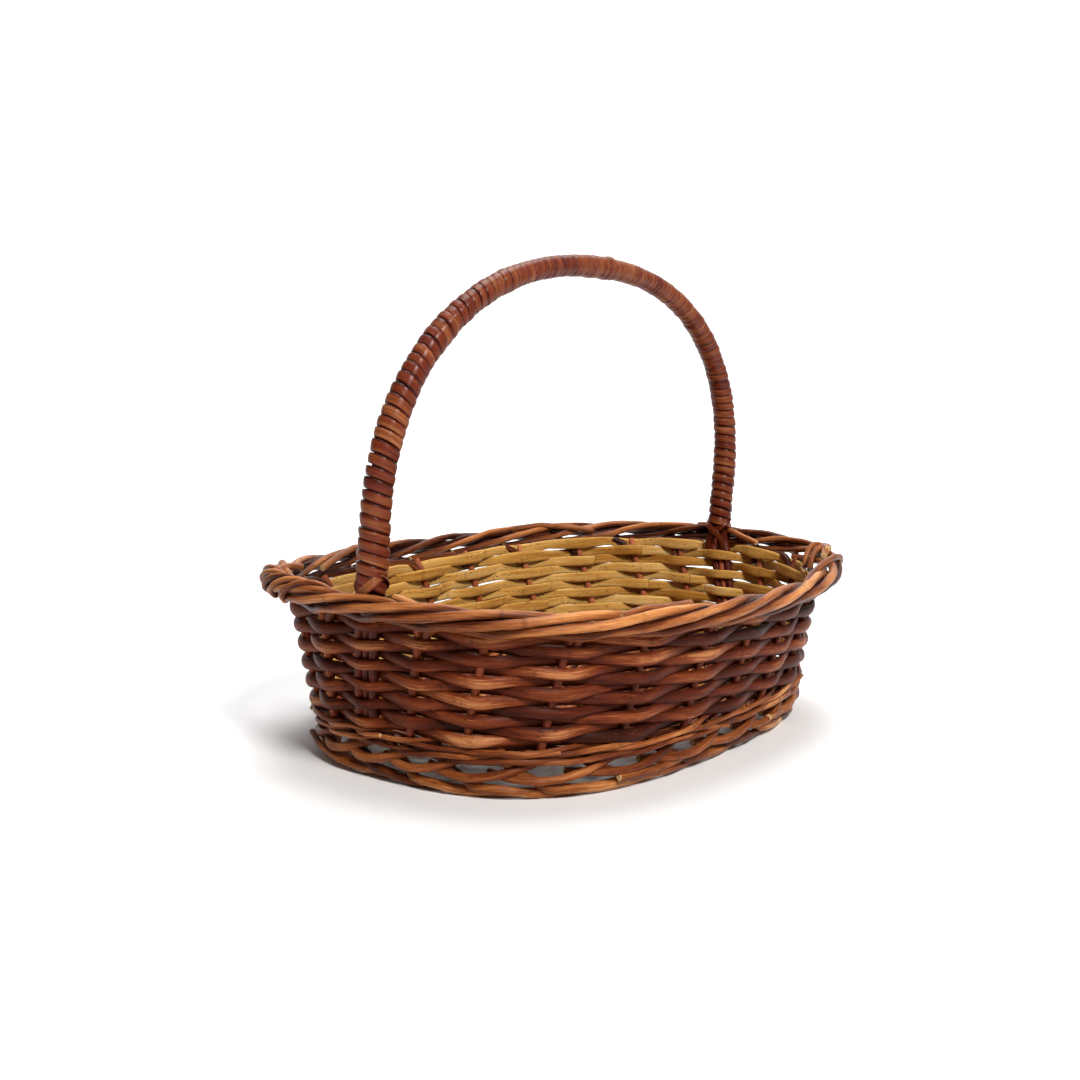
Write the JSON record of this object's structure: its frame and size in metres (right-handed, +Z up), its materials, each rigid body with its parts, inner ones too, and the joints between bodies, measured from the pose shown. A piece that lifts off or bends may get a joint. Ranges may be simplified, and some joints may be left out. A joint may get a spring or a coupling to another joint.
{
  "type": "woven market basket",
  "caption": "Low oval wicker market basket with split-rod weave, plaited border, openwork foot and a fixed wrapped hoop handle.",
  "frame": {"origin": "on the ground under the middle of the rim", "axes": "+X along the length and the handle, +Y across, +Z up"},
  "size_m": [0.364, 0.2546, 0.2512],
  "materials": {
    "siding": "satin varnish",
    "stakes": "satin varnish",
    "border": "satin varnish",
    "foot": "satin varnish",
    "base": "satin varnish",
    "handle_core": "satin varnish",
    "handle_skin": "gloss varnish"
  },
  "bodies": {
    "root": {"base_cross_sticks": "base", "base_long_sticks": "base", "base_weavers": "base", "side_stakes": "stakes", "foot_rods": "foot", "foot_wale": "foot", "upsett_rod_1": "foot", "upsett_rod_2": "foot", "side_weaver_01": "siding", "side_weaver_02": "siding", "side_weaver_03": "siding", "side_weaver_04": "siding", "side_weaver_05": "siding", "side_weaver_06": "siding", "side_weaver_07": "siding", "side_weaver_08": "siding", "side_weaver_09": "siding", "side_weaver_10": "siding", "side_weaver_11": "siding", "border_rods": "border", "handle_bow_rod_front": "handle_core", "handle_bow_rod_back": "handle_core", "handle_packing_outer": "handle_core", "handle_packing_inner": "handle_core", "handle_wrap": "handle_skin", "lashing_left": "handle_skin", "lashing_right": "handle_skin"}
  },
  "joints": []
}
